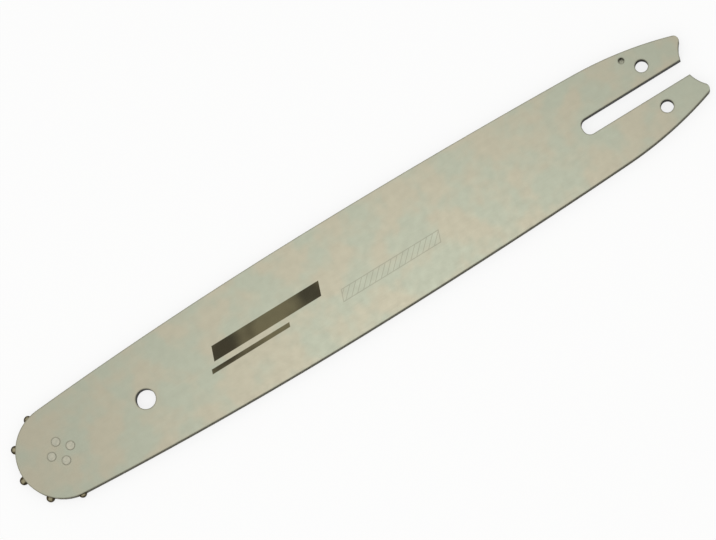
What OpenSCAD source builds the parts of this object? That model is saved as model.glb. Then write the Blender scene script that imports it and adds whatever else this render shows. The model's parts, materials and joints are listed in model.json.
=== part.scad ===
// Laminated sprocket-nose guide bar for a small chainsaw, in millimetres.
// It lies on its lower face: +X runs to the tail, +Y to one chain rail, +Z up through the plates.
// The origin is on the lower face, midway between the two tensioner holes.

/* [Outline] */
// Distance from the centre of the nose arc to the tensioner holes
nose_to_holes = 320.7; // [300:0.1:345]
// Radius of the nose rail
nose_r = 22.6; // [22:0.1:23]
// Full width of the bar at its widest place
bar_w = 55.6; // [54:0.1:58]
// Distance from the tensioner holes forward to the widest place
widest_from_holes = 175; // [155:1:190]
// Full width where the tail curve begins
shoulder_w = 49.3; // [48.4:0.1:50]
// Distance from the tensioner holes forward to the start of the tail curve
shoulder_from_holes = 29; // [26:1:32]
// Radius of the tail curve
tail_curve_r = 183; // [170:1:200]
// Radius of the hollow that clears the drive sprocket
tail_hollow_r = 18; // [17:0.1:19]
// Distance from the tensioner holes back to the centre of that hollow
tail_hollow_from_holes = 34.2; // [33:0.1:36]
// Radius of the outer corners of the tail
tail_corner_r = 2.6; // [2:0.1:3.2]

/* [Plates] */
// Thickness of each side plate
side_plate_t = 1.4; // [1.2:0.05:1.6]
// Thickness of the core plate, which is the width of the chain groove
core_t = 1.4; // [1.3:0.05:1.7]
// Depth of the chain groove below the rails
groove_depth = 6; // [5:0.1:6.3]

/* [Stud slot and holes] */
// Width of the slot for the bar studs
slot_w = 8.2; // [8:0.1:9]
// Distance from the tensioner holes forward to the closed end of the slot
slot_end_from_holes = 38.6; // [36:0.1:42]
// Corner radius at the closed end of the slot
slot_end_r = 3.4; // [2.5:0.1:3.9]
// Distance between the two tensioner holes
tensioner_spacing = 22.6; // [22:0.1:23.2]
// Diameter of each tensioner hole
tensioner_hole_d = 6.1; // [5.6:0.1:6.4]
// Diameter of each oil inlet
oil_hole_d = 2.7; // [2:0.1:3.2]
// Distance from the tensioner holes forward to the oil inlets
oil_hole_from_holes = 6.6; // [5:0.1:9]
// Distance from the rail in to the centre of an oil inlet
oil_hole_inset = 3.8; // [3.4:0.1:4.2]
// Diameter of the hanging hole near the nose
hanging_hole_d = 9.5; // [8:0.1:11]
// Distance from the centre of the nose arc back to the hanging hole
hanging_hole_from_nose = 44.9; // [42:0.1:47]

/* [Core windows] */
// Number of weight-saving windows in the core plate
window_count = 4; // [2:1:5]
// Web left between two windows
window_web = 8; // [6:0.5:12]
// Rim left between a window and the groove floor
window_rim = 6.5; // [5:0.1:8]
// Solid core left between a window and the hanging hole or the slot
window_margin = 10; // [8:0.5:14]
// Corner radius of a window
window_r = 6; // [3:0.5:8]

/* [Nose sprocket] */
// How far the sprocket axis lies ahead of the centre of the nose arc
sprocket_ahead = 1.1; // [0.5:0.1:1.2]
// Number of sprocket teeth
tooth_count = 9; // [9:1:10]
// Radius at the tips of the teeth
tooth_tip_r = 24.05; // [23.8:0.05:24.4]
// Radius at the floor of the gullets
gullet_floor_r = 16.2; // [15.6:0.1:16.8]
// Width of a tooth where it crosses the rail
tooth_w = 4.2; // [3.9:0.1:4.5]
// Slope of each flank to the middle of its tooth
flank_angle = 8; // [6:0.5:9]
// Angle from +X to the middle of one tooth
tooth_phase = 186.4; // [180:0.1:220]
// Gap on each side of the sprocket in the groove
sprocket_side_play = 0.08; // [0.05:0.01:0.15]
// Gap between the tips of the teeth and the core plate
sprocket_core_gap = 0.8; // [0.5:0.1:1.5]

/* [Nose bearing] */
// Number of rollers
roller_count = 22; // [20:1:23]
// Diameter of a roller
roller_d = 2.5; // [2.3:0.05:2.6]
// Gap between neighbouring rollers
roller_gap = 0.15; // [0.1:0.05:0.2]
// Running gap between a roller and each race
roller_play = 0.05; // [0.03:0.01:0.08]
// Gap between the end of a roller and each side plate
roller_end_play = 0.1; // [0.05:0.01:0.2]

/* [Nose rivets] */
// Number of rivets through the inner race
rivet_count = 4; // [3:1:4]
// Radius of the circle of rivets
rivet_circle_r = 5.05; // [4.7:0.05:5.3]
// Diameter of a rivet shank
rivet_shank_d = 3; // [2.6:0.1:3.2]
// Diameter of the flush heads, as seen on the side plates
rivet_head_d = 4.2; // [3.8:0.1:4.6]
// Depth of the countersink that each head fills
rivet_sink_depth = 0.6; // [0.4:0.05:0.8]
// Radial gap left around a rivet
rivet_gap = 0.02; // [0.01:0.01:0.05]

/* [Hidden] */
roller_names = [for (i = [1 : roller_count]) str("roller_", i < 10 ? "0" : "", i)];

// Facets on a whole circle
round_fn = 96;
// How far a long arc of the rail may rise over one straight step
rail_rise = 0.004;
// Overlap at which two tangent curves cross cleanly
blend = 0.01;
// How far a shape runs on beyond the cut that trims it
past = 1;

bar_t = 2 * side_plate_t + core_t;
core_z = side_plate_t;
upper_plate_z = side_plate_t + core_t;

nose_x = -nose_to_holes;
sprocket_x = nose_x - sprocket_ahead;
hanging_hole_x = nose_x + hanging_hole_from_nose;
slot_end_x = -slot_end_from_holes;
hollow_centre = [tail_hollow_from_holes, 0];

// The rail runs nose arc, front flank, rear flank, tail curve, each tangent to the next.
nose_centre = [nose_x, 0];
widest = [-widest_from_holes, bar_w / 2];
shoulder = [-shoulder_from_holes, shoulder_w / 2];
nose_to_widest = widest.x - nose_x;
front_flank_r = (nose_to_widest^2 + widest.y^2 - nose_r^2) / (2 * widest.y - 2 * nose_r);
front_flank_centre = [widest.x, widest.y - front_flank_r];
shoulder_drop = widest.y - shoulder.y;
rear_flank_r = ((shoulder.x - widest.x)^2 + shoulder_drop^2) / (2 * shoulder_drop);
rear_flank_centre = [widest.x, widest.y - rear_flank_r];
tail_curve_centre = shoulder + (rear_flank_centre - shoulder) * tail_curve_r / rear_flank_r;

// Unit vector from one place to another
function toward(from, to) = (to - from) / norm(to - from);

// A point turned about the origin
function turned(point, angle) = [
    point.x * cos(angle) - point.y * sin(angle),
    point.x * sin(angle) + point.y * cos(angle)
];

// The meeting point of two circles, on the left of the way from centre a to centre b
function circles_meet(a, a_r, b, b_r) =
    let (span = norm(b - a))
    let (along = (span^2 + a_r^2 - b_r^2) / (2 * span))
    let (across = sqrt(a_r^2 - along^2))
    a + along * toward(a, b) + across * [-toward(a, b).y, toward(a, b).x];

// Height of the upper rail above the centreline at this X, behind the nose arc, set in by an inset
function rail_y(x, inset = 0) =
    x < widest.x
        ? front_flank_centre.y + sqrt((front_flank_r - inset)^2 - (x - widest.x)^2)
        : x < shoulder.x
            ? rear_flank_centre.y + sqrt((rear_flank_r - inset)^2 - (x - widest.x)^2)
            : tail_curve_centre.y + sqrt((tail_curve_r - inset)^2 - (x - tail_curve_centre.x)^2);

// Points along an arc, from the direction of one place up to that of another, which is left out
function arc(centre, r, from, to) =
    let (start = atan2(from.y - centre.y, from.x - centre.x))
    let (sweep = atan2(to.y - centre.y, to.x - centre.x) - start)
    let (steps = ceil(abs(sweep) * PI / 180 * r / sqrt(8 * r * rail_rise)))
    [for (i = [0 : steps - 1]) centre + r * [cos(start + sweep * i / steps), sin(start + sweep * i / steps)]];

// The upper rail, set in by an inset, from the nose arc to the direction of a place at the tail
function rail(inset, tail_end) = concat(
    arc(front_flank_centre, front_flank_r - inset, nose_centre, widest),
    arc(rear_flank_centre, rear_flank_r - inset, widest, shoulder),
    arc(tail_curve_centre, tail_curve_r - inset, shoulder, tail_end),
    [tail_curve_centre + (tail_curve_r - inset) * toward(tail_curve_centre, tail_end)]
);

// Closed outline along the lower side, through the tail hollow and back along the upper side
function both_sides(side) = concat(
    [for (p = side) [p.x, -p.y]], [hollow_centre], [for (i = [len(side) - 1 : -1 : 0]) side[i]]
);

module rounded_rect(low, high, r) {
    translate([low.x + r, low.y]) square([high.x - low.x - 2 * r, high.y - low.y]);
    translate([low.x, low.y + r]) square([high.x - low.x, high.y - low.y - 2 * r]);
    for (x = [low.x + r, high.x - r], y = [low.y + r, high.y - r])
        translate([x, y]) circle(r = r + blend, $fn = round_fn);
}

// Slot, tensioner holes and hanging hole, which go through all three plates
module through_holes() {
    rounded_rect([slot_end_x, -slot_w / 2], [hollow_centre.x, slot_w / 2], slot_end_r);
    for (side = [-1, 1])
        translate([0, side * tensioner_spacing / 2]) circle(d = tensioner_hole_d, $fn = round_fn);
    translate([hanging_hole_x, 0]) circle(d = hanging_hole_d, $fn = round_fn);
}

module at_rivets() {
    for (i = [0 : rivet_count - 1])
        translate([sprocket_x, 0]) rotate(i * 360 / rivet_count) translate([rivet_circle_r, 0]) children();
}

// Centre of the upper tail corner, which is round, between the tail curve and the hollow
tail_corner = circles_meet(
    tail_curve_centre, tail_curve_r - tail_corner_r,
    hollow_centre, tail_hollow_r + tail_corner_r - blend
);
oil_hole = [-oil_hole_from_holes, rail_y(-oil_hole_from_holes, oil_hole_inset)];

module side_plate_outline() {
    way = rail(0, tail_corner);
    last = len(way) - 1;
    nose_end = way[0] + blend * toward(way[0], nose_centre);
    tail_end = way[last] + blend * toward(way[last], tail_corner);
    between = [for (i = [1 : last - 1]) way[i]];
    difference() {
        union() {
            polygon(both_sides(concat([nose_end], between, [tail_end, tail_corner])));
            translate(nose_centre) circle(r = nose_r, $fn = round_fn);
            for (side = [-1, 1])
                translate([tail_corner.x, side * tail_corner.y]) circle(r = tail_corner_r, $fn = round_fn);
        }
        translate(hollow_centre) circle(r = tail_hollow_r, $fn = round_fn);
    }
}

// A side plate, drawn with its outer face up at the height of its own thickness
module side_plate() {
    difference() {
        linear_extrude(side_plate_t) difference() {
            side_plate_outline();
            through_holes();
            translate(oil_hole) circle(d = oil_hole_d, $fn = round_fn);
            at_rivets() circle(d = rivet_shank_d + 2 * rivet_gap, $fn = round_fn);
        }
        at_rivets()
            translate([0, 0, side_plate_t - rivet_sink_depth])
            cylinder(h = rivet_sink_depth, d1 = rivet_shank_d + 2 * rivet_gap,
                d2 = rivet_head_d + 2 * rivet_gap, $fn = round_fn);
    }
}

module side_plate_upper() {
    color("#bdbaa8") translate([0, 0, upper_plate_z]) side_plate();
}

module side_plate_lower() {
    color("#b4b1a0") translate([0, 0, side_plate_t]) rotate([180, 0, 0]) side_plate();
}

module core_windows() {
    first_x = hanging_hole_x + hanging_hole_d / 2 + window_margin;
    last_x = slot_end_x - window_margin;
    window_l = (last_x - first_x - (window_count - 1) * window_web) / window_count;
    for (i = [0 : window_count - 1]) {
        x = first_x + i * (window_l + window_web);
        half_w = min(rail_y(x), rail_y(x + window_l)) - groove_depth - window_rim;
        rounded_rect([x, -half_w], [x + window_l, half_w], window_r);
    }
}

// Core plate: its edge is the floor of the chain groove
module core_plate() {
    tail_edge = circles_meet(
        tail_curve_centre, tail_curve_r - groove_depth, hollow_centre, tail_hollow_r);
    color("#6f6d62")
        translate([0, 0, core_z])
        linear_extrude(core_t) difference() {
            polygon(both_sides(rail(groove_depth, tail_edge + [past, 0])));
            translate([sprocket_x, 0]) circle(r = tooth_tip_r + sprocket_core_gap, $fn = round_fn);
            translate(hollow_centre) circle(r = tail_hollow_r, $fn = round_fn);
            through_holes();
            core_windows();
        }
}

roller_r = roller_d / 2;
roller_circle_r = (roller_d + roller_gap) / 2 / sin(180 / roller_count);
race_r = roller_circle_r - roller_r - roller_play;
sprocket_bore_r = roller_circle_r + roller_r + roller_play;

// Tooth form: straight flanks, a round tip and a round gullet, all tangent.
// Along a flank, x * sin(flank_angle) + y * cos(flank_angle) is flank_offset.
half_pitch = 180 / tooth_count;
sprocket_rail_r = nose_r - sprocket_ahead;
flank_offset = tooth_w / 2 * cos(flank_angle) + sprocket_rail_r * sin(flank_angle);
gullet_slope = sin(half_pitch + flank_angle);
gullet_r = (gullet_floor_r * gullet_slope - flank_offset) / (1 - gullet_slope);
gullet_centre_r = gullet_floor_r + gullet_r;
tip_r = (flank_offset - tooth_tip_r * sin(flank_angle)) / (1 - sin(flank_angle));
tip_centre_r = tooth_tip_r - tip_r;
tip_tangent = [tip_centre_r, 0] + (tip_r - blend) * [sin(flank_angle), cos(flank_angle)];
flank_foot = turned([gullet_centre_r, 0], half_pitch) - gullet_r * [sin(flank_angle), cos(flank_angle)];

module at_teeth(shift, distance) {
    for (i = [0 : tooth_count - 1])
        rotate((i + shift) * 2 * half_pitch) translate([distance, 0]) children();
}

module nose_sprocket() {
    tooth = [[flank_foot.x, -flank_foot.y], [tip_tangent.x, -tip_tangent.y], tip_tangent, flank_foot];
    color("#4a4843")
        translate([sprocket_x, 0, core_z + sprocket_side_play])
        rotate(tooth_phase)
        linear_extrude(core_t - 2 * sprocket_side_play) difference() {
            union() {
                polygon([for (i = [0 : tooth_count - 1], p = tooth) turned(p, i * 2 * half_pitch)]);
                at_teeth(0, tip_centre_r) circle(r = tip_r, $fn = round_fn);
            }
            at_teeth(0.5, gullet_centre_r) circle(r = gullet_r + blend, $fn = round_fn);
            circle(r = sprocket_bore_r, $fn = round_fn);
        }
}

module inner_race() {
    color("#8f8d85")
        translate([0, 0, core_z])
        linear_extrude(core_t) difference() {
            translate([sprocket_x, 0]) circle(r = race_r, $fn = round_fn);
            at_rivets() circle(d = rivet_shank_d + 2 * rivet_gap, $fn = round_fn);
        }
}

module nose_rivets() {
    color("#a8a698") at_rivets() {
        cylinder(h = rivet_sink_depth, d1 = rivet_head_d, d2 = rivet_shank_d, $fn = round_fn);
        cylinder(h = bar_t, d = rivet_shank_d, $fn = round_fn);
        translate([0, 0, bar_t - rivet_sink_depth])
            cylinder(h = rivet_sink_depth, d1 = rivet_shank_d, d2 = rivet_head_d, $fn = round_fn);
    }
}

module roller(i) {
    color("#c9c7bf")
        translate([sprocket_x, 0, core_z + roller_end_play])
        rotate(i * 360 / roller_count)
        translate([roller_circle_r, 0])
        cylinder(h = core_t - 2 * roller_end_play, d = roller_d, $fn = round_fn);
}

side_plate_lower();
core_plate();
side_plate_upper();
nose_sprocket();
inner_race();
nose_rivets();
for (i = [0 : roller_count - 1])
    roller(i);
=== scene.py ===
"""Finishes, softened edges and studio for a laminated chainsaw guide bar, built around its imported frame.

All lengths are in metres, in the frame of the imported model: +X runs to the tail, +Y to the rail that has
the oil inlet on the upper face, and +Z up through the plates.
"""

import json
import logging
import math
from dataclasses import dataclass
from enum import Enum
from typing import Any, Union

import bmesh
import bpy
from mathutils import Matrix, Vector

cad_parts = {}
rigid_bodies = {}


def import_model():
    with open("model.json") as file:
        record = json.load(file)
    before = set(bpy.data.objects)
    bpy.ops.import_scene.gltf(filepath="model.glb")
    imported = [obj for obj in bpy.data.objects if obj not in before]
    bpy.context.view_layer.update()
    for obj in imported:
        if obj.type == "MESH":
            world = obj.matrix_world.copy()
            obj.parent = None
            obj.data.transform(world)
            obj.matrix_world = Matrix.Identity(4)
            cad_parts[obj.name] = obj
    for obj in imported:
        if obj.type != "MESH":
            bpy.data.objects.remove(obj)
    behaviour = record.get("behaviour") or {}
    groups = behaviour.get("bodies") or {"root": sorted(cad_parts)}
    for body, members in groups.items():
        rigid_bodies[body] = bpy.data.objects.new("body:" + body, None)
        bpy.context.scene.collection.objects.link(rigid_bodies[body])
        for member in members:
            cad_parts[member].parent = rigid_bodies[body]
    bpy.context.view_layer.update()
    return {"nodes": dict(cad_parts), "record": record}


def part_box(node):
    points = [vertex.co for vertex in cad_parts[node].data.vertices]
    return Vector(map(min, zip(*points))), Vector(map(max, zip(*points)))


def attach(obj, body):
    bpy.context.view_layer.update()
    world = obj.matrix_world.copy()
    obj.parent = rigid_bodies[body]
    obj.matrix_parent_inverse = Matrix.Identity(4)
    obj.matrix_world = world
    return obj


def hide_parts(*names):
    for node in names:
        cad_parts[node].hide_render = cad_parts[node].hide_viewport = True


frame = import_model()

log = logging.getLogger("guide_bar")

Colour = tuple[float, float, float, float]
Operand = Union["Reading", float]
MM = 0.001


def tone(red: int, green: int, blue: int) -> Colour:
    """A colour as seen on a screen, from 0 to 255, turned into the light that a material takes.

    Args:
        red: Red on the screen.
        green: Green on the screen.
        blue: Blue on the screen.

    Returns:
        The linear colour with full cover.
    """
    def light(step: int) -> float:
        """One channel as light."""
        share = step / 255
        return share / 12.92 if share <= 0.04045 else ((share + 0.055) / 1.055) ** 2.4
    return (light(red), light(green), light(blue), 1.0)


def mount(name: str) -> dict[str, Any]:
    """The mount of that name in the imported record."""
    return next(entry for entry in frame["record"]["mounts"] if entry["name"] == name)


class Reading:
    """A socket in a finish's node tree, with the arithmetic that the finishes use."""

    def __init__(self, tree: "FinishTree", socket: bpy.types.NodeSocket) -> None:
        """Wraps one output socket of a tree."""
        self.tree = tree
        self.socket = socket

    def _math(self, operation: str, first: Operand, second: Operand = 0.0) -> "Reading":
        """Adds a Math node.

        Args:
            operation: The node's operation.
            first: Its first value.
            second: Its second value, if the operation has one.

        Returns:
            The node's result.
        """
        inputs = {"Value": first, "Value_001": second}
        return self.tree.read("ShaderNodeMath", "Value", {"operation": operation}, inputs)

    def __add__(self, other: Operand) -> "Reading":
        """This plus other."""
        return self._math("ADD", self, other)

    def __radd__(self, other: Operand) -> "Reading":
        """Other plus this."""
        return self._math("ADD", other, self)

    def __sub__(self, other: Operand) -> "Reading":
        """This less other."""
        return self._math("SUBTRACT", self, other)

    def __rsub__(self, other: Operand) -> "Reading":
        """Other less this."""
        return self._math("SUBTRACT", other, self)

    def __mul__(self, other: Operand) -> "Reading":
        """This times other."""
        return self._math("MULTIPLY", self, other)

    def __rmul__(self, other: Operand) -> "Reading":
        """Other times this."""
        return self._math("MULTIPLY", other, self)

    def __abs__(self) -> "Reading":
        """This without its sign."""
        return self._math("ABSOLUTE", self)

    def least(self, other: Operand) -> "Reading":
        """The smaller of this and other."""
        return self._math("MINIMUM", self, other)

    def most(self, other: Operand) -> "Reading":
        """The larger of this and other."""
        return self._math("MAXIMUM", self, other)

    def over(self, limit: Operand) -> "Reading":
        """One where this is above a limit, and zero elsewhere."""
        return self._math("GREATER_THAN", self, limit)

    def length_with(self, other: "Reading") -> "Reading":
        """Length of the vector that has this and other as its two legs."""
        return self._math("SQRT", self * self + other * other)

    def angle_from(self, other: "Reading") -> "Reading":
        """Angle of the direction that has other along and this across, in radians."""
        return self._math("ARCTAN2", self, other)

    def folded(self, span: float) -> "Reading":
        """This folded back and forth between zero and a span."""
        return self._math("PINGPONG", self, span)

    def rise(self, low: float, high: float) -> "Reading":
        """A soft step.

        Args:
            low: Where the step begins.
            high: Where it is complete. If it is below low, the step falls.

        Returns:
            A value from zero to one.
        """
        limits = {"Value": self, "From Min": low, "From Max": high}
        if low > high:
            limits |= {"From Min": high, "From Max": low, "To Min": 1.0, "To Max": 0.0}
        return self.tree.read("ShaderNodeMapRange", "Result", {"interpolation_type": "SMOOTHSTEP"}, limits)


class FinishTree:
    """The node tree of one material, or of the room around the bar."""

    def __init__(self, owner: Union[bpy.types.Material, bpy.types.World]) -> None:
        """Empties the node tree of a new material or world."""
        self.owner = owner
        self.owner.use_nodes = True
        self.owner.node_tree.nodes.clear()

    def add(self, kind: str, settings: dict[str, Any], inputs: dict[str, Any]) -> bpy.types.Node:
        """Adds a node, sets it up and then feeds its sockets.

        Args:
            kind: The node's type.
            settings: Properties of the node, such as its operation.
            inputs: A value or a Reading for each socket, by the socket's identifier.

        Returns:
            The node.
        """
        node = self.owner.node_tree.nodes.new(kind)
        for name, setting in settings.items():
            setattr(node, name, setting)
        sockets = {socket.identifier: socket for socket in node.inputs}
        for name, value in inputs.items():
            if isinstance(value, Reading):
                self.owner.node_tree.links.new(value.socket, sockets[name])
            else:
                sockets[name].default_value = value
        return node

    def read(self, kind: str, output: str, settings: dict[str, Any], inputs: dict[str, Any]) -> Reading:
        """Adds a node and reads one of its outputs.

        Args:
            kind: The node's type.
            output: The identifier of the output.
            settings: Properties of the node.
            inputs: A value or a Reading for each socket.

        Returns:
            The output.
        """
        node = self.add(kind, settings, inputs)
        return Reading(self, next(socket for socket in node.outputs if socket.identifier == output))

    def mix(self, share: Operand, first: Any, second: Any) -> Reading:
        """Mixes two colours.

        Args:
            share: How much of the second colour is taken.
            first: The first colour.
            second: The second colour.

        Returns:
            The mixed colour.
        """
        inputs = {"Factor_Float": share, "A_Color": first, "B_Color": second}
        return self.read("ShaderNodeMix", "Result_Color", {"data_type": "RGBA"}, inputs)

    def stretched(self, place: Reading, scale: tuple[float, float, float]) -> Reading:
        """A place with each of its axes scaled."""
        inputs = {"Vector": place, "Vector_001": scale}
        return self.read("ShaderNodeVectorMath", "Vector", {"operation": "MULTIPLY"}, inputs)

    def noise(self, place: Reading, grain: float, detail: float = 2.0) -> Reading:
        """Soft noise.

        Args:
            place: Where it is read.
            grain: Size of its patches.
            detail: How many finer layers it has.

        Returns:
            A value around one half.
        """
        inputs = {"Vector": place, "Scale": 1 / grain, "Detail": detail}
        return self.read("ShaderNodeTexNoise", "Fac", {"noise_dimensions": "3D"}, inputs)

    def steel(self, colour: Any, roughness: Operand, relief: Reading, depth: float) -> bpy.types.Material:
        """Ends the tree in a metal surface.

        Args:
            colour: Its colour.
            roughness: Its roughness.
            relief: Height of its fine relief, from zero to one.
            depth: Depth of that relief.

        Returns:
            The finished material.
        """
        bump = self.read("ShaderNodeBump", "Normal", {}, {"Height": relief, "Distance": depth})
        surface = {"Base Color": colour, "Metallic": 1.0, "Roughness": roughness, "Normal": bump}
        shader = self.read("ShaderNodeBsdfPrincipled", "BSDF", {}, surface)
        self.add("ShaderNodeOutputMaterial", {}, {"Surface": shader})
        return self.owner


class Axis(Enum):
    """Which part of a place or a normal is read."""

    ALONG = "X"
    ACROSS = "Y"
    UP = "Z"


class Surface:
    """Where a point of the bar lies and which way it faces, as a finish reads them."""

    def __init__(self, tree: FinishTree) -> None:
        """Reads the place and the normal in the piece's own frame."""
        self.tree = tree
        self.place = tree.read("ShaderNodeTexCoord", "Object", {}, {})
        self.normal = tree.read("ShaderNodeTexCoord", "Normal", {}, {})
        self.x = self.part_of(self.place, Axis.ALONG)
        self.y = self.part_of(self.place, Axis.ACROSS)

    def part_of(self, vector: Reading, axis: Axis) -> Reading:
        """One part of a vector."""
        return self.tree.read("ShaderNodeSeparateXYZ", axis.value, {}, {"Vector": vector})

    def wall(self) -> Reading:
        """One on the walls, zero on the flat faces, and between them on the softened edges."""
        return abs(self.part_of(self.normal, Axis.UP)).rise(0.97, 0.45)

    def distance_to(self, x: float, y: float) -> Reading:
        """Distance in the plane to an upright line."""
        return (self.x - x).length_with(self.y - y)


@dataclass(frozen=True)
class BarForm:
    """Outline of the bar and of what is cut through it, from which the finishes read distances."""

    nose_x: float = -320.7 * MM
    nose_radius: float = 22.6 * MM
    widest_x: float = -175.0 * MM
    shoulder_x: float = -29.0 * MM
    shoulder_half: float = 24.65 * MM
    tail_curve_radius: float = 183.0 * MM
    hollow_x: float = 34.2 * MM
    hollow_radius: float = 18.0 * MM
    slot_end_x: float = -38.6 * MM
    slot_half: float = 4.1 * MM
    slot_end_radius: float = 3.4 * MM
    oil_inlet_radius: float = 1.35 * MM
    rivet_circle: float = 5.05 * MM
    rivet_head_radius: float = 2.1 * MM

    @property
    def half_width(self) -> float:
        """Half the width at the widest place."""
        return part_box("side_plate_upper")[1].y

    @property
    def front_radius(self) -> float:
        """Radius of the front flank, which is tangent to the nose arc."""
        reach = self.widest_x - self.nose_x
        return (reach**2 + self.half_width**2 - self.nose_radius**2) / (2 * (self.half_width - self.nose_radius))

    @property
    def rear_radius(self) -> float:
        """Radius of the rear flank."""
        drop = self.half_width - self.shoulder_half
        return ((self.shoulder_x - self.widest_x) ** 2 + drop**2) / (2 * drop)

    def rail_gap(self, surface: Surface) -> Reading:
        """How far a point lies in from the rail.

        Args:
            surface: The point.

        Returns:
            The distance, which is zero on the rail.
        """
        height = abs(surface.y)
        front, rear = self.front_radius, self.rear_radius
        share = self.tail_curve_radius / rear
        tail_x = self.shoulder_x + (self.widest_x - self.shoulder_x) * share
        tail_y = self.shoulder_half + (self.half_width - rear - self.shoulder_half) * share
        flank_x = self.nose_x + self.nose_radius * (self.nose_x - self.widest_x) / (front - self.nose_radius)
        at_widest = surface.x - self.widest_x
        gaps = [
            self.nose_radius - surface.distance_to(self.nose_x, 0.0),
            front - at_widest.length_with(height + (front - self.half_width)),
            rear - at_widest.length_with(height + (rear - self.half_width)),
            self.tail_curve_radius - (surface.x - tail_x).length_with(height - tail_y),
        ]
        gap = gaps[0]
        for start, further in zip((flank_x, self.widest_x, self.shoulder_x), gaps[1:]):
            gap = gap + (further - gap) * surface.x.over(start)
        return gap

    def cut_gap(self, surface: Surface) -> Reading:
        """How far a point lies from the nearest slot, hole or hollow.

        Args:
            surface: The point.

        Returns:
            The distance, which is zero on the edge of a cut.
        """
        along = (self.slot_end_x + self.slot_end_radius - surface.x).most(0.0)
        across = (abs(surface.y) - (self.slot_half - self.slot_end_radius)).most(0.0)
        gap = along.length_with(across) - self.slot_end_radius
        gap = gap.least(surface.distance_to(self.hollow_x, 0.0) - self.hollow_radius)
        for name in ("hanging_hole", "tensioner_hole_upper_side", "tensioner_hole_lower_side"):
            hole = mount(name)
            gap = gap.least(surface.distance_to(*hole["pos_m"][:2]) - hole["dims"]["r_mm"] * MM)
        return gap

    def inlet_gap(self, surface: Surface, face: str) -> Reading:
        """How far a point lies from the edge of one face's oil inlet."""
        return surface.distance_to(*mount(f"oil_inlet_{face}_face")["pos_m"][:2]) - self.oil_inlet_radius

    def rivet_distance(self, surface: Surface) -> Reading:
        """How far a point lies from the middle of the nearest nose rivet.

        Args:
            surface: The point.

        Returns:
            The distance.
        """
        centre = mount("sprocket_teeth")["pos_m"]
        along, across = surface.x - centre[0], surface.y - centre[1]
        ahead = (abs(along) - self.rivet_circle).length_with(across)
        return ahead.least(along.length_with(abs(across) - self.rivet_circle))


@dataclass(frozen=True)
class PrintedBars:
    """Plain printed shapes on the upper face: a thick bar, a thin bar and a hatched strip."""

    lean: float = 0.35
    thick: tuple[float, float, float, float] = (-239 * MM, -181 * MM, -2.0 * MM, 5.0 * MM)
    thin: tuple[float, float, float, float] = (-241 * MM, -199 * MM, -6.8 * MM, -4.6 * MM)
    strip: tuple[float, float, float, float] = (-171 * MM, -118 * MM, -10.2 * MM, -4.2 * MM)
    strip_line: float = 0.45 * MM
    hatch_pitch: float = 3.2 * MM
    hatch_line: float = 0.3 * MM
    edge: float = 0.12 * MM

    def depth_in(self, surface: Surface, limits: tuple[float, float, float, float]) -> Reading:
        """How deep a point lies inside a leaning bar.

        Args:
            surface: The point.
            limits: The bar's ends along and its sides across, measured on the centreline.

        Returns:
            The depth, which is negative outside.
        """
        low_x, high_x, low_y, high_y = limits
        leaning = surface.x - surface.y * self.lean
        along = (leaning - low_x).least(high_x - leaning)
        return along.least(surface.y - low_y).least(high_y - surface.y)

    def solid(self, surface: Surface) -> Reading:
        """One inside the two solid bars."""
        depth = self.depth_in(surface, self.thick).most(self.depth_in(surface, self.thin))
        return depth.rise(-self.edge, self.edge)

    def fine(self, surface: Surface) -> Reading:
        """One on the strip's outline and on its hatching.

        Args:
            surface: The point.

        Returns:
            A value from zero to one.
        """
        depth = self.depth_in(surface, self.strip)
        inside = depth.rise(-self.edge, self.edge)
        outline = depth.rise(self.strip_line + self.edge, self.strip_line - self.edge)
        to_line = (surface.x - surface.y).folded(self.hatch_pitch / 2)
        hatch = to_line.rise(self.hatch_line, self.hatch_line - self.edge)
        return inside * outline.most(hatch)


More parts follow.
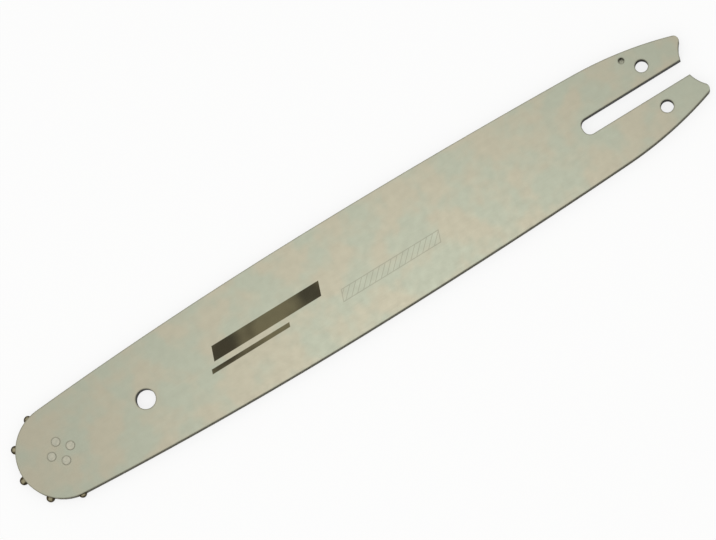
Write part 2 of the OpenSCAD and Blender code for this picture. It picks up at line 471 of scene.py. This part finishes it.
@dataclass(frozen=True)
class PlateFinish:
    """Satin steel of a side plate: fine grain, faint rolling lines, ground walls darkened with painted shade,
    and a painted shade line along the edges of its faces.
    """

    face: str
    printed: bool
    warm: Colour = tone(165, 160, 141)
    cool: Colour = tone(158, 161, 144)
    # Tone for the random mottling and the wall grinding marks, and for the painted shade line along the edges.
    mottle_and_shade: Colour = tone(118, 116, 102)
    ring: Colour = tone(140, 138, 122)
    # Painted shade: the rail walls and the darker cut walls are coloured dark to stand in for the shade and dark
    # reflections on them.
    rail_wall_painted_shade: Colour = tone(84, 80, 66)
    cut_wall_painted_shade: Colour = tone(46, 42, 34)
    ink: Colour = tone(38, 33, 20)
    faded_ink: Colour = tone(84, 78, 56)
    pale_ink: Colour = tone(128, 126, 112)
    patch: float = 14 * MM
    cloud: float = 4 * MM
    grain: float = 0.35 * MM
    relief: float = 0.012 * MM
    edge_shade_line: float = 0.45 * MM
    ring_line: float = 0.35 * MM

    def material(self, form: BarForm) -> bpy.types.Material:
        """Makes the plate's material.

        Args:
            form: Outline of the bar.

        Returns:
            The material.
        """
        tree = FinishTree(bpy.data.materials.new(f"satin_plate_{self.face}"))
        surface = Surface(tree)
        patches = tree.noise(surface.place, self.patch)
        clouds = tree.noise(surface.place, self.cloud, 3.0)
        grain = tree.noise(surface.place, self.grain, 3.0)
        lines = tree.noise(tree.stretched(surface.place, (1.0, 70.0, 1.0)), 18 * MM, 3.0)
        colour = tree.mix(patches.rise(0.36, 0.64), self.warm, self.cool)
        speckle = (clouds * 0.45 + grain * 0.3 + lines * 0.25).rise(0.3, 0.72)
        colour = tree.mix(speckle * 0.1, colour, self.mottle_and_shade)

        rail, cut = form.rail_gap(surface), form.cut_gap(surface)
        edge = rail.least(cut).least(form.inlet_gap(surface, self.face))
        # Painted shade: a dark line along every edge of the face, where the softened edge would be shaded.
        edge_shade = edge.rise(self.edge_shade_line * 1.5, self.edge_shade_line * 0.3) * (0.45 + 0.5 * clouds)
        colour = tree.mix(edge_shade, colour, self.mottle_and_shade)
        off_ring = abs(form.rivet_distance(surface) - form.rivet_head_radius)
        ring = off_ring.rise(self.ring_line * 1.6, self.ring_line * 0.2)
        colour = tree.mix(ring * 0.75, colour, self.ring)
        if self.printed:
            bars = PrintedBars()
            wear = tree.noise(surface.place, 22 * MM).rise(0.38, 0.66)
            solid = bars.solid(surface) * (0.9 + 0.1 * grain)
            colour = tree.mix(bars.fine(surface) * 0.55, colour, self.pale_ink)
            colour = tree.mix(solid, colour, tree.mix(wear, self.ink, self.faded_ink))

        # Painted shade on every wall, darkest in the slot, holes and hollow, with grinding marks mixed in.
        walls = tree.mix(rail.rise(1.2 * MM, 0.4 * MM), self.cut_wall_painted_shade, self.rail_wall_painted_shade)
        wall_marks = tree.noise(tree.stretched(surface.place, (1.0, 1.0, 30.0)), 6 * MM, 3.0)
        walls = tree.mix(wall_marks.rise(0.35, 0.75) * 0.4, walls, self.mottle_and_shade)
        wall = surface.wall()
        colour = tree.mix(wall, colour, walls)
        roughness = 0.3 + 0.1 * clouds + 0.06 * lines + wall * 0.06
        return tree.steel(colour, roughness, grain * 0.7 + lines * 0.3, self.relief)


@dataclass(frozen=True)
class CoreFinish:
    """Rolled steel of the core plate, with random oil stains and with painted shade on its edge walls."""

    plain: Colour = tone(98, 95, 84)
    oil_and_groove_shade: Colour = tone(44, 41, 34)

    def material(self) -> bpy.types.Material:
        """Makes the core plate's material."""
        tree = FinishTree(bpy.data.materials.new("rolled_core"))
        surface = Surface(tree)
        stain = tree.noise(surface.place, 7 * MM, 3.0)
        scale = tree.noise(tree.stretched(surface.place, (1.0, 12.0, 1.0)), 5 * MM, 4.0)
        # Painted shade: the wall term darkens the core plate's edge walls, which lie in the shaded chain groove;
        # the two noises are random oil stains and rolling scale.
        share = (stain * 0.6 + scale * 0.4 + surface.wall() * 0.45).rise(0.3, 0.85)
        colour = tree.mix(share, self.plain, self.oil_and_groove_shade)
        return tree.steel(colour, 0.34 + 0.16 * scale, scale, 0.02 * MM)


@dataclass(frozen=True)
class SprocketFinish:
    """Blackened sprocket steel with random brown scuffs, and a painted highlight on the middle of each tooth."""

    black: Colour = tone(40, 35, 26)
    brown: Colour = tone(74, 66, 48)
    # The last colour is the painted highlight on the middle of each tooth's face.
    tooth_highlight: Colour = tone(150, 143, 116)
    teeth: int = 9
    phase: float = math.radians(186.4)
    tooth_half: float = 1.25 * MM
    highlight_from: float = 20.0 * MM
    highlight_to: float = 23.3 * MM

    def material(self) -> bpy.types.Material:
        """Makes the sprocket's material.

        Returns:
            The material.
        """
        tree = FinishTree(bpy.data.materials.new("blackened_sprocket"))
        surface = Surface(tree)
        centre = mount("sprocket_teeth")["pos_m"]
        along, across = surface.x - centre[0], surface.y - centre[1]
        radius = along.length_with(across)
        turn = across.angle_from(along) - (self.phase - 4 * math.pi)
        off_tooth = turn.folded(math.pi / self.teeth) * radius
        scuff_and_glint_noise = tree.noise(surface.place, 1.6 * MM, 3.0)
        grain = tree.noise(surface.place, 0.3 * MM, 3.0)
        middle = off_tooth.rise(self.tooth_half, self.tooth_half * 0.35)
        reach = radius.rise(self.highlight_from - 1.5 * MM, self.highlight_from)
        reach = reach * radius.rise(self.highlight_to + 0.4 * MM, self.highlight_to - 0.4 * MM)
        # Painted highlight: lightens the middle of each tooth's flat face, varied at random from tooth to tooth.
        share = middle * reach * (1.0 - surface.wall()) * (0.55 + 0.6 * scuff_and_glint_noise)
        colour = tree.mix(scuff_and_glint_noise.rise(0.35, 0.7), self.black, self.brown)
        colour = tree.mix(share, colour, self.tooth_highlight)
        return tree.steel(colour, 0.3 + 0.14 * scuff_and_glint_noise, grain, 0.012 * MM)


@dataclass(frozen=True)
class BearingFinish:
    """Ground bearing steel with fine marks round its own upright line."""

    bright: Colour = tone(168, 166, 158)
    dull: Colour = tone(120, 117, 106)
    name: str = "ground_bearing"

    def material(self) -> bpy.types.Material:
        """Makes the material of the inner race and the rollers."""
        tree = FinishTree(bpy.data.materials.new(self.name))
        surface = Surface(tree)
        marks = tree.noise(tree.stretched(surface.place, (1.0, 1.0, 25.0)), 2 * MM, 3.0)
        film = tree.noise(surface.place, 3 * MM)
        colour = tree.mix((marks * 0.5 + film * 0.5).rise(0.35, 0.7), self.bright, self.dull)
        return tree.steel(colour, 0.16 + 0.14 * film, marks, 0.006 * MM)


@dataclass(frozen=True)
class RivetFinish:
    """Rivet steel ground flush with the side plates, in a slightly different tone from theirs."""

    bright: Colour = tone(171, 168, 151)
    dull: Colour = tone(158, 157, 142)
    ring: Colour = tone(138, 136, 121)

    def material(self, form: BarForm) -> bpy.types.Material:
        """Makes the rivets' material.

        Args:
            form: Outline of the bar.

        Returns:
            The material.
        """
        tree = FinishTree(bpy.data.materials.new("flush_rivet"))
        surface = Surface(tree)
        clouds = tree.noise(surface.place, 1.5 * MM, 3.0)
        grain = tree.noise(surface.place, 0.35 * MM, 3.0)
        outer = form.rivet_distance(surface).rise(form.rivet_head_radius * 0.72, form.rivet_head_radius)
        colour = tree.mix(clouds.rise(0.35, 0.7), self.bright, self.dull)
        colour = tree.mix(outer * 0.8, colour, self.ring)
        return tree.steel(colour, 0.32 + 0.1 * clouds, grain, 0.012 * MM)


@dataclass(frozen=True)
class SoftEdge:
    """The fine break on the edges of a flat piece."""

    width: float
    margin: float
    steps: int = 2
    flat: float = 0.999
    sharp: float = math.radians(30)
    weld: float = 1e-7

    def dress(self, node: str, piece: str, body: str, material: bpy.types.Material) -> bpy.types.Object:
        """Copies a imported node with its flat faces' edges broken, and stands the copy for it.

        Args:
            node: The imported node.
            piece: Name of the copy.
            body: The body that it rides on.
            material: Its finish.

        Returns:
            The copy.
        """
        original = frame["nodes"][node]
        work = bmesh.new()
        work.from_mesh(original.data)
        bmesh.ops.remove_doubles(work, verts=work.verts, dist=self.weld)
        faces = [face for face in work.faces if abs(face.normal.z) > self.flat]
        bmesh.ops.inset_region(work, faces=faces, thickness=self.margin, use_even_offset=True)
        rims = [edge for edge in work.edges if self.is_rim(edge)]
        bmesh.ops.bevel(work, geom=rims, offset=self.width, offset_type="OFFSET", affect="EDGES",
                        segments=self.steps, profile=0.5, clamp_overlap=False)
        work.normal_update()
        for face in work.faces:
            face.smooth = abs(face.normal.z) < self.flat
            face.material_index = 0
        mesh = bpy.data.meshes.new(piece)
        work.to_mesh(mesh)
        work.free()
        mesh.materials.append(material)
        copy = bpy.data.objects.new(piece, mesh)
        bpy.context.scene.collection.objects.link(copy)
        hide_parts(node)
        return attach(copy, body)

    def is_rim(self, edge: bmesh.types.BMEdge) -> bool:
        """True where an edge parts a flat face from a wall."""
        if len(edge.link_faces) != 2 or edge.calc_face_angle() < self.sharp:
            return False
        return any(abs(face.normal.z) > self.flat for face in edge.link_faces)


@dataclass
class BarBody:
    """The two side plates, the core plate between them and the rivets."""

    form: BarForm
    edge_width: float = 0.12 * MM
    edge_margin: float = 0.4 * MM

    def build(self) -> int:
        """Dresses the plates and the rivets.

        Returns:
            How many pieces were dressed.
        """
        edge = SoftEdge(self.edge_width, self.edge_margin)
        for face in ("upper", "lower"):
            finish = PlateFinish(face, printed=face == "upper").material(self.form)
            edge.dress(f"side_plate_{face}", f"{face}_plate", "bar", finish)
        edge.dress("nose_rivets", "rivet_set", "bar", RivetFinish().material(self.form))
        dress_node("core_plate", CoreFinish().material())
        return 4


@dataclass
class NoseBearing:
    """The toothed sprocket, the inner race and the full row of rollers between them."""

    edge_width: float = 0.15 * MM
    edge_margin: float = 0.35 * MM
    roller_edge: float = 0.12 * MM
    roller_margin: float = 0.3 * MM

    def build(self) -> int:
        """Dresses the sprocket, the race and the rollers.

        Returns:
            How many pieces were dressed.
        """
        edge = SoftEdge(self.edge_width, self.edge_margin)
        edge.dress("nose_sprocket", "sprocket_wheel", "sprocket", SprocketFinish().material())
        ground = BearingFinish().material()
        dress_node("inner_race", ground)
        round_end = SoftEdge(self.roller_edge, self.roller_margin)
        rollers = [name for name in sorted(frame["nodes"]) if name.startswith("roller_")]
        for name in rollers:
            round_end.dress(name, f"ground_{name}", "rollers", ground)
        return 2 + len(rollers)


def dress_node(node: str, material: bpy.types.Material) -> None:
    """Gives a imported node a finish.

    Args:
        node: The node.
        material: The finish.
    """
    for slot in frame["nodes"][node].material_slots:
        slot.material = material


@dataclass
class Studio:
    """Pale floor, white surroundings, a large soft lamp above and the camera."""

    floor_side: float = 12.0
    floor_drop: float = 0.05 * MM
    floor_colour: Colour = tone(244, 244, 242)
    floor_glow: float = 0.8
    ambient: float = 0.85
    camera_place: tuple[float, float, float] = (-0.1496, -0.3621, 1.5937)
    camera_right: tuple[float, float, float] = (0.8516, -0.5098, -0.122)
    camera_back: tuple[float, float, float] = (0.007, -0.2217, 0.9751)
    lens: float = 177.44
    sensor: float = 36.0

    def build(self) -> int:
        """Makes the floor, the world, the lamps and the camera.

        Returns:
            How many lamps there are.
        """
        self.make_floor()
        self.make_world()
        self.add_lamp("soft_box", (-0.15, 0.06, 0.8), (0.34, 0.16), 0.55, (-0.15, 0.0, 0.0))
        self.add_lamp("side_box", (-1.2, -0.9, 1.3), (0.9, 0.9), 3.0, (-0.16, 0.0, 0.0))
        self.make_camera()
        scene = bpy.context.scene
        scene.view_settings.view_transform = "Standard"
        return 2

    def make_floor(self) -> None:
        """Lays the floor, which the camera sees nearly white and which keeps the bar's shadow."""
        half = self.floor_side / 2
        corners = [(-half, -half), (half, -half), (half, half), (-half, half)]
        mesh = bpy.data.meshes.new("studio_floor")
        mesh.from_pydata([(x, y, -self.floor_drop) for x, y in corners], [], [(0, 1, 2, 3)])
        tree = FinishTree(bpy.data.materials.new("pale_floor"))
        paint = tree.read("ShaderNodeBsdfDiffuse", "BSDF", {}, {"Color": self.floor_colour})
        glow = tree.read("ShaderNodeEmission", "Emission", {}, {"Strength": 1.0})
        seen = tree.read("ShaderNodeLightPath", "Is Camera Ray", {}, {})
        mixed = tree.read("ShaderNodeMixShader", "Shader", {},
                          {"Fac": seen * self.floor_glow, "Shader": paint, "Shader_001": glow})
        tree.add("ShaderNodeOutputMaterial", {}, {"Surface": mixed})
        mesh.materials.append(tree.owner)
        floor = bpy.data.objects.new("studio_floor", mesh)
        bpy.context.scene.collection.objects.link(floor)

    def make_world(self) -> None:
        """Surrounds the bar with white, a little dimmer as a light than it looks."""
        world = bpy.data.worlds.new("white_room")
        tree = FinishTree(world)
        seen, mirrored, passed = (tree.read("ShaderNodeLightPath", f"Is {kind} Ray", {}, {})
                                  for kind in ("Camera", "Glossy", "Transmission"))
        strength = self.ambient + (1.0 - self.ambient) * seen.most(mirrored.most(passed))
        light = {"Color": (1.0, 1.0, 1.0, 1.0), "Strength": strength}
        background = tree.read("ShaderNodeBackground", "Background", {}, light)
        tree.add("ShaderNodeOutputWorld", {}, {"Surface": background})
        bpy.context.scene.world = world

    def add_lamp(self, name: str, place: tuple[float, float, float], size: tuple[float, float],
                 power: float, target: tuple[float, float, float]) -> None:
        """Hangs a soft rectangular lamp.

        Args:
            name: Its name.
            place: Where it hangs.
            size: Its two sides.
            power: Its power in watts.
            target: What it points at.
        """
        light = bpy.data.lights.new(name, "AREA")
        light.shape = "RECTANGLE"
        light.size, light.size_y = size
        light.energy = power
        lamp = bpy.data.objects.new(name, light)
        lamp.location = place
        lamp.rotation_euler = (Vector(target) - Vector(place)).to_track_quat("-Z", "Y").to_euler()
        lamp.visible_camera = False
        bpy.context.scene.collection.objects.link(lamp)

    def make_camera(self) -> None:
        """Sets the camera above the bar, at the angle at which it was photographed."""
        data = bpy.data.cameras.new("camera")
        data.lens = self.lens
        data.sensor_width = self.sensor
        camera = bpy.data.objects.new("camera", data)
        back = Vector(self.camera_back).normalized()
        up = back.cross(Vector(self.camera_right)).normalized()
        right = up.cross(back)
        turn = Matrix((right, up, back)).transposed().to_4x4()
        camera.matrix_world = Matrix.Translation(self.camera_place) @ turn
        bpy.context.scene.collection.objects.link(camera)
        bpy.context.scene.camera = camera


def main() -> None:
    """Builds the bar's body, its nose bearing and the studio, in that order."""
    logging.basicConfig(level=logging.INFO, format="%(name)s: %(message)s")
    log.info("bar body: %d pieces", BarBody(BarForm()).build())
    log.info("nose bearing: %d pieces", NoseBearing().build())
    log.info("studio: %d lamps", Studio().build())


if __name__ == "__main__":
    main()
